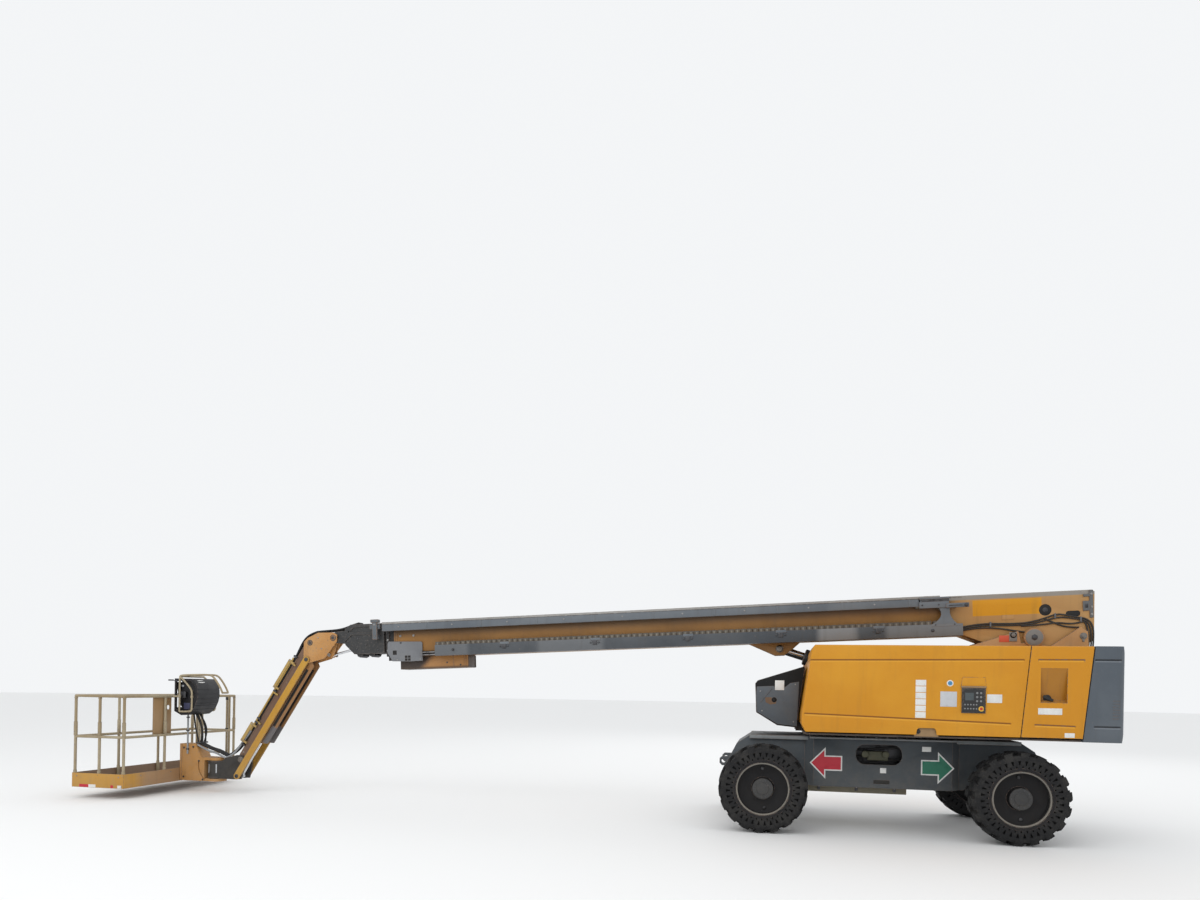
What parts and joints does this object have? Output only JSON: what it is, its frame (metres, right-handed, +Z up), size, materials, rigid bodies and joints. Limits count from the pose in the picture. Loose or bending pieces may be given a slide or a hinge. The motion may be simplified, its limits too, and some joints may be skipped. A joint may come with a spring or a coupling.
{
  "type": "telescopic boom lift",
  "caption": "Self-propelled work platform on a three-section telescopic boom with a parallelogram jib, on a slewing turntable over a wheeled chassis.",
  "frame": {"origin": "on the ground under the middle of the whole machine as it parks, boom stowed", "axes": "+X towards the counterweight and the steered axle, +Y towards the left side of a person who faces +X, +Z up"},
  "size_m": [13.383, 2.49, 2.9528],
  "materials": {
    "chassis_paint": "dark blue-grey paint, dusty",
    "steel": "bare worked steel",
    "cast": "dark cast metal",
    "tyre": "black rubber",
    "rim_paint": "charcoal paint",
    "yellow": "faded yellow-orange paint",
    "deep_yellow": "yellow paint",
    "brown_yellow": "weathered orange-brown paint",
    "black_paint": "black paint",
    "grey_paint": "light grey paint",
    "tan": "tan paint",
    "khaki": "khaki paint",
    "chrome": "hard chrome",
    "plastic": "black plastic",
    "engine": null
  },
  "bodies": {
    "chassis": {"chassis_frame": "chassis_paint", "slew_ring": "cast", "belly_tray": "khaki", "fixed_axle": "chassis_paint", "steer_axle": "chassis_paint"},
    "turntable": {"turntable_frame": "tan", "counterweight": "chassis_paint", "front_cover": "grey_paint", "engine_block": "engine"},
    "right_hood": {"right_hood": "yellow", "ground_control_panel": "plastic"},
    "left_hood": {"left_hood": "yellow"},
    "right_rear_door": {"right_rear_door": "yellow"},
    "left_rear_door": {"left_rear_door": "yellow"},
    "base_boom": {"base_boom": "yellow", "boom_front_box": "brown_yellow", "boom_guide_plate": "grey_paint", "chain_trough": "chassis_paint", "energy_chain": "plastic"},
    "mid_boom": {"mid_boom": "yellow", "hose_tube": "grey_paint"},
    "fly_boom": {"fly_boom": "yellow", "boom_head": "black_paint"},
    "lift_cylinder": {"lift_cylinder": "black_paint"},
    "lift_rod": {"lift_rod": "chrome"},
    "jib_bracket": {"jib_bracket": "brown_yellow"},
    "level_cylinder": {"level_cylinder": "black_paint"},
    "level_rod": {"level_rod": "chrome"},
    "jib_beam": {"jib_beam": "brown_yellow", "jib_hose_guard": "tan"},
    "jib_links": {"jib_links": "deep_yellow"},
    "jib_cylinder": {"jib_cylinder": "black_paint"},
    "jib_rod": {"jib_rod": "chrome"},
    "jib_knuckle": {"jib_knuckle": "black_paint"},
    "platform": {"platform_support": "yellow", "platform_floor": "yellow", "platform_rails": "tan", "control_console": "plastic", "console_guard": "tan", "platform_panel": "tan"},
    "platform_gate": {"platform_gate": "tan"},
    "steering_knuckle_right": {"steering_knuckle_right": "cast"},
    "steering_knuckle_left": {"steering_knuckle_left": "cast"},
    "wheel_fixed_right": {"tyre_fixed_right": "tyre", "rim_fixed_right": "rim_paint"},
    "wheel_fixed_left": {"tyre_fixed_left": "tyre", "rim_fixed_left": "rim_paint"},
    "wheel_steered_right": {"tyre_steered_right": "tyre", "rim_steered_right": "rim_paint"},
    "wheel_steered_left": {"tyre_steered_left": "tyre", "rim_steered_left": "rim_paint"}
  },
  "joints": [
    {"name": "slew", "type": "hinge", "parent": "chassis", "child": "turntable", "pos_m": [4.23851, 0, 1.17], "axis": [0, 0, 1], "continuous": true},
    {"name": "boom_lift", "type": "hinge", "parent": "turntable", "child": "base_boom", "pos_m": [6.00951, 0, 2.371], "axis": [0, 1, 0], "range_deg": [0, 77.6]},
    {"name": "lift_cylinder_swing", "type": "hinge", "parent": "turntable", "child": "lift_cylinder", "pos_m": [4.98851, 0, 1.6], "axis": [0, 1, 0], "range_deg": [0, 77.69]},
    {"name": "lift_rod_extend", "type": "slide", "parent": "lift_cylinder", "child": "lift_rod", "axis": [-0.9541, 0, 0.2994], "range_m": [0, 1.6179]},
    {"name": "mid_boom_extend", "type": "slide", "parent": "base_boom", "child": "mid_boom", "axis": [-0.999, 0, -0.0454], "range_m": [0, 6.3]},
    {"name": "fly_boom_extend", "type": "slide", "parent": "mid_boom", "child": "fly_boom", "axis": [-0.999, 0, -0.0454], "range_m": [0, 6.3]},
    {"name": "bracket_level", "type": "hinge", "parent": "fly_boom", "child": "jib_bracket", "pos_m": [-3.3413, 0, 2.33078], "axis": [0, 1, 0], "range_deg": [-78.1, 0]},
    {"name": "level_cylinder_swing", "type": "hinge", "parent": "fly_boom", "child": "level_cylinder", "pos_m": [-2.61523, 0, 2.27966], "axis": [0, 1, 0], "range_deg": [0, 7.29]},
    {"name": "level_rod_slide", "type": "slide", "parent": "level_cylinder", "child": "level_rod", "axis": [-0.9695, 0, -0.2453], "range_m": [-0.3154, 0]},
    {"name": "jib_lift", "type": "hinge", "parent": "jib_bracket", "child": "jib_beam", "pos_m": [-3.7083, 0, 2.25678], "axis": [0, -1, 0], "range_deg": [-132.6, 2.4]},
    {"name": "jib_link_swing", "type": "hinge", "parent": "jib_bracket", "child": "jib_links", "pos_m": [-3.75129, 0, 2.01078], "axis": [0, -1, 0], "range_deg": [-133.1, 2.9]},
    {"name": "jib_knuckle_level", "type": "hinge", "parent": "jib_beam", "child": "jib_knuckle", "pos_m": [-4.81853, 0, 0.50733], "axis": [0, -1, 0], "range_deg": [-2.9, 133.1]},
    {"name": "jib_cylinder_swing", "type": "hinge", "parent": "jib_bracket", "child": "jib_cylinder", "pos_m": [-3.7083, 0, 2.25678], "axis": [0, -1, 0], "range_deg": [-134.35, 3.12]},
    {"name": "jib_rod_slide", "type": "slide", "parent": "jib_cylinder", "child": "jib_rod", "axis": [-0.5004, 0, -0.8658], "range_m": [-0.4608, 0.0111]},
    {"name": "platform_swivel", "type": "hinge", "parent": "jib_knuckle", "child": "platform", "pos_m": [-5.28153, 0, 0.50733], "axis": [0, 0, 1], "range_deg": [-90, 90]},
    {"name": "gate_swing", "type": "hinge", "parent": "platform", "child": "platform_gate", "pos_m": [-6.01153, 1.195, 0.86133], "axis": [0, 0, 1], "range_deg": [0, 90]},
    {"name": "right_hood_lift", "type": "hinge", "parent": "turntable", "child": "right_hood", "pos_m": [4.23851, -0.262, 2.215], "axis": [-1, 0, 0], "range_deg": [0, 60]},
    {"name": "left_hood_lift", "type": "hinge", "parent": "turntable", "child": "left_hood", "pos_m": [4.23851, 0.262, 2.215], "axis": [1, 0, 0], "range_deg": [0, 60]},
    {"name": "right_rear_door_lift", "type": "hinge", "parent": "turntable", "child": "right_rear_door", "pos_m": [4.23851, -0.262, 2.215], "axis": [-1, 0, 0], "range_deg": [0, 60]},
    {"name": "left_rear_door_lift", "type": "hinge", "parent": "turntable", "child": "left_rear_door", "pos_m": [4.23851, 0.262, 2.215], "axis": [1, 0, 0], "range_deg": [0, 60]},
    {"name": "steer_left", "type": "hinge", "parent": "chassis", "child": "steering_knuckle_left", "pos_m": [5.63851, 0.76, 0.52], "axis": [0, 0, 1], "range_deg": [-30, 30]},
    {"name": "wheel_spin_steered_left", "type": "hinge", "parent": "steering_knuckle_left", "child": "wheel_steered_left", "pos_m": [5.63851, 1.0525, 0.52], "axis": [0, 1, 0], "continuous": true},
    {"name": "wheel_spin_fixed_left", "type": "hinge", "parent": "chassis", "child": "wheel_fixed_left", "pos_m": [2.83851, 1.0525, 0.52], "axis": [0, 1, 0], "continuous": true},
    {"name": "steer_right", "type": "hinge", "parent": "chassis", "child": "steering_knuckle_right", "pos_m": [5.63851, -0.76, 0.52], "axis": [0, 0, 1], "range_deg": [-30, 30]},
    {"name": "wheel_spin_steered_right", "type": "hinge", "parent": "steering_knuckle_right", "child": "wheel_steered_right", "pos_m": [5.63851, -1.0525, 0.52], "axis": [0, 1, 0], "continuous": true},
    {"name": "wheel_spin_fixed_right", "type": "hinge", "parent": "chassis", "child": "wheel_fixed_right", "pos_m": [2.83851, -1.0525, 0.52], "axis": [0, 1, 0], "continuous": true}
  ],
  "couplings": [
    {"joint": "lift_cylinder_swing", "follows": "boom_lift", "ratio": 0.98154},
    {"joint": "lift_rod_extend", "follows": "boom_lift", "m_per_rad": 1.1827},
    {"joint": "fly_boom_extend", "follows": "mid_boom_extend", "ratio": 1},
    {"joint": "bracket_level", "follows": "boom_lift", "ratio": -1},
    {"joint": "level_cylinder_swing", "follows": "boom_lift", "ratio": 0.092152},
    {"joint": "level_rod_slide", "follows": "boom_lift", "m_per_rad": -0.23058},
    {"joint": "jib_link_swing", "follows": "jib_lift", "ratio": 1},
    {"joint": "jib_knuckle_level", "follows": "jib_lift", "ratio": -1},
    {"joint": "jib_cylinder_swing", "follows": "jib_lift", "ratio": 0.99331},
    {"joint": "jib_rod_slide", "follows": "jib_lift", "m_per_rad": 0.19713},
    {"joint": "steer_right", "follows": "steer_left", "ratio": 1}
  ]
}
